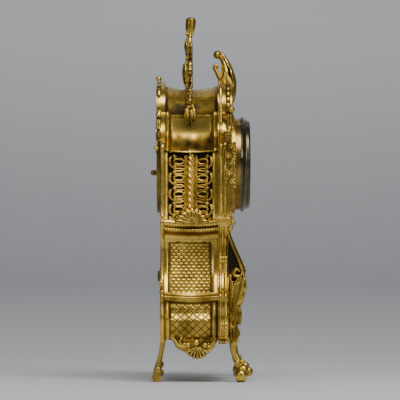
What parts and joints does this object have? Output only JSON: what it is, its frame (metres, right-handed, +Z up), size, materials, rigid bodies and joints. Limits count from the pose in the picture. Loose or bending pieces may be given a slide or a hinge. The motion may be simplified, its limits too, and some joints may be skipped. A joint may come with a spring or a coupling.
{
  "type": "mantel clock",
  "caption": "Rococo gilt bronze mantel clock on scrolled paw feet, with a glazed bezel, a round back door and a pendulum movement that strikes on a bell.",
  "frame": {"origin": "centre of the clock's footprint, on the surface it stands on", "axes": "+Z up; the dial faces -Y; +X is to the right for someone who faces the dial"},
  "size_m": [0.2584, 0.1244, 0.4534],
  "materials": {
    "gilt_bronze": "mercury-gilt casting, tarnished in its hollows",
    "bezel_bronze": "darkened lacquered brass",
    "plain_brass": "dull spun brass",
    "dial_gilt": "chased and gilt",
    "movement_brass": "polished",
    "enamel": "glossy fired enamel",
    "blued_steel": "heat-blued",
    "steel": "bright",
    "dark_iron": "darkened",
    "bell_metal": "polished",
    "glass": "clear, domed"
  },
  "bodies": {
    "case": {"back_border": "gilt_bronze", "back_casting": "gilt_bronze", "back_cock": "movement_brass", "bell": "bell_metal", "bell_stand": "movement_brass", "bezel_seat": "bezel_bronze", "dial": "dial_gilt", "dial_collar": "gilt_bronze", "front_apron": "gilt_bronze", "front_border": "gilt_bronze", "front_casting": "gilt_bronze", "front_crest": "gilt_bronze", "left_base_side": "gilt_bronze", "left_front_leg": "gilt_bronze", "left_lower_side": "gilt_bronze", "left_roof_shoulder": "gilt_bronze", "left_side_apron": "gilt_bronze", "left_sound_fret": "gilt_bronze", "left_upper_side": "gilt_bronze", "left_waist_moulding": "gilt_bronze", "movement_front_plate": "movement_brass", "movement_rear_plate": "movement_brass", "movement_straps": "movement_brass", "numeral_plaques": "enamel", "right_base_side": "gilt_bronze", "right_front_leg": "gilt_bronze", "right_lower_side": "gilt_bronze", "right_roof_shoulder": "gilt_bronze", "right_side_apron": "gilt_bronze", "right_sound_fret": "gilt_bronze", "right_upper_side": "gilt_bronze", "right_waist_moulding": "gilt_bronze", "roof_crest": "gilt_bronze", "roof_dome": "gilt_bronze", "tie_rods": "dark_iron"},
    "bezel": {"bezel": "bezel_bronze", "bezel_glass": "glass"},
    "back_door": {"back_door": "plain_brass"},
    "door_latch": {"back_door_latch": "plain_brass"},
    "minute_hand": {"minute_hand": "blued_steel", "cannon_pinion": "steel"},
    "hour_hand": {"hour_hand": "blued_steel", "hour_wheel": "movement_brass"},
    "minute_wheel": {"minute_wheel": "movement_brass"},
    "going_barrel": {"going_barrel": "movement_brass"},
    "going_winding_arbor": {"going_winding_arbor": "steel"},
    "strike_barrel": {"strike_barrel": "movement_brass"},
    "strike_winding_arbor": {"strike_winding_arbor": "steel"},
    "second_wheel": {"second_wheel": "movement_brass"},
    "centre_wheel": {"centre_wheel": "movement_brass"},
    "third_wheel": {"third_wheel": "movement_brass"},
    "escape_wheel": {"escape_wheel": "movement_brass"},
    "strike_second_wheel": {"strike_second_wheel": "movement_brass"},
    "pin_wheel": {"pin_wheel": "movement_brass"},
    "fly": {"fly": "movement_brass"},
    "hammer": {"hammer": "steel"},
    "pallets": {"pallets_and_crutch": "steel"},
    "pendulum": {"pendulum_rod": "steel", "pendulum_bob": "movement_brass", "rating_nut": "movement_brass"}
  },
  "joints": [
    {"name": "bezel_hinge", "type": "hinge", "parent": "case", "child": "bezel", "pos_m": [0.0622, -0.0486, 0.268], "axis": [0, 0, 1], "range_deg": [0, 110]},
    {"name": "back_door_hinge", "type": "hinge", "parent": "case", "child": "back_door", "pos_m": [0.0642, 0.0526, 0.268], "axis": [0, 0, -1], "range_deg": [0, 105]},
    {"name": "door_latch_turn", "type": "hinge", "parent": "back_door", "child": "door_latch", "pos_m": [-0.0425, 0.05, 0.2555], "axis": [0, -1, 0], "range_deg": [0, 90]},
    {"name": "minute_hand_turn", "type": "hinge", "parent": "case", "child": "minute_hand", "pos_m": [0, 0, 0.268], "axis": [0, 1, 0], "continuous": true},
    {"name": "hour_hand_turn", "type": "hinge", "parent": "case", "child": "hour_hand", "pos_m": [0, 0, 0.268], "axis": [0, 1, 0], "continuous": true},
    {"name": "minute_wheel_turn", "type": "hinge", "parent": "case", "child": "minute_wheel", "pos_m": [0.00679, 0, 0.27479], "axis": [0, 1, 0], "continuous": true},
    {"name": "escape_wheel_turn", "type": "hinge", "parent": "case", "child": "escape_wheel", "pos_m": [0, 0, 0.29006], "axis": [0, 1, 0], "continuous": true},
    {"name": "third_wheel_turn", "type": "hinge", "parent": "case", "child": "third_wheel", "pos_m": [-0.00648, 0, 0.2805], "axis": [0, 1, 0], "continuous": true},
    {"name": "centre_wheel_turn", "type": "hinge", "parent": "case", "child": "centre_wheel", "pos_m": [0, 0, 0.268], "axis": [0, 1, 0], "continuous": true},
    {"name": "second_wheel_turn", "type": "hinge", "parent": "case", "child": "second_wheel", "pos_m": [0.0109, 0, 0.2774], "axis": [0, 1, 0], "continuous": true},
    {"name": "going_barrel_turn", "type": "hinge", "parent": "case", "child": "going_barrel", "pos_m": [0.01903, 0, 0.25913], "axis": [0, 1, 0], "continuous": true},
    {"name": "going_winding", "type": "hinge", "parent": "case", "child": "going_winding_arbor", "pos_m": [0.01903, 0, 0.25913], "axis": [0, 1, 0], "continuous": true},
    {"name": "fly_turn", "type": "hinge", "parent": "case", "child": "fly", "pos_m": [-0.01228, 0, 0.29383], "axis": [0, 1, 0], "continuous": true},
    {"name": "pin_wheel_turn", "type": "hinge", "parent": "case", "child": "pin_wheel", "pos_m": [-0.02136, 0, 0.2914], "axis": [0, 1, 0], "continuous": true},
    {"name": "strike_second_wheel_turn", "type": "hinge", "parent": "case", "child": "strike_second_wheel", "pos_m": [-0.02488, 0, 0.27826], "axis": [0, 1, 0], "continuous": true},
    {"name": "strike_barrel_turn", "type": "hinge", "parent": "case", "child": "strike_barrel", "pos_m": [-0.01903, 0, 0.25913], "axis": [0, 1, 0], "continuous": true},
    {"name": "strike_winding", "type": "hinge", "parent": "case", "child": "strike_winding_arbor", "pos_m": [-0.01903, 0, 0.25913], "axis": [0, 1, 0], "continuous": true},
    {"name": "hammer_swing", "type": "hinge", "parent": "case", "child": "hammer", "pos_m": [-0.03, 0, 0.244], "axis": [0, 1, 0], "range_deg": [-14, 2]},
    {"name": "pendulum_swing", "type": "hinge", "parent": "case", "child": "pendulum", "pos_m": [0, 0, 0.3025], "axis": [0, 1, 0], "range_deg": [-4, 4]},
    {"name": "pallets_rock", "type": "hinge", "parent": "case", "child": "pallets", "pos_m": [0, 0, 0.3025], "axis": [0, 1, 0], "range_deg": [-4, 4]}
  ],
  "couplings": [
    {"joint": "hour_hand_turn", "follows": "minute_hand_turn", "ratio": 0.083333},
    {"joint": "minute_wheel_turn", "follows": "minute_hand_turn", "ratio": -0.33333},
    {"joint": "third_wheel_turn", "follows": "escape_wheel_turn", "ratio": -0.1},
    {"joint": "centre_wheel_turn", "follows": "escape_wheel_turn", "ratio": 0.01},
    {"joint": "second_wheel_turn", "follows": "escape_wheel_turn", "ratio": -0.002},
    {"joint": "going_barrel_turn", "follows": "escape_wheel_turn", "ratio": 0.00035294},
    {"joint": "pin_wheel_turn", "follows": "fly_turn", "ratio": -0.175},
    {"joint": "strike_second_wheel_turn", "follows": "fly_turn", "ratio": 0.023333},
    {"joint": "strike_barrel_turn", "follows": "fly_turn", "ratio": -0.0041176},
    {"joint": "pallets_rock", "follows": "pendulum_swing", "ratio": 1}
  ]
}
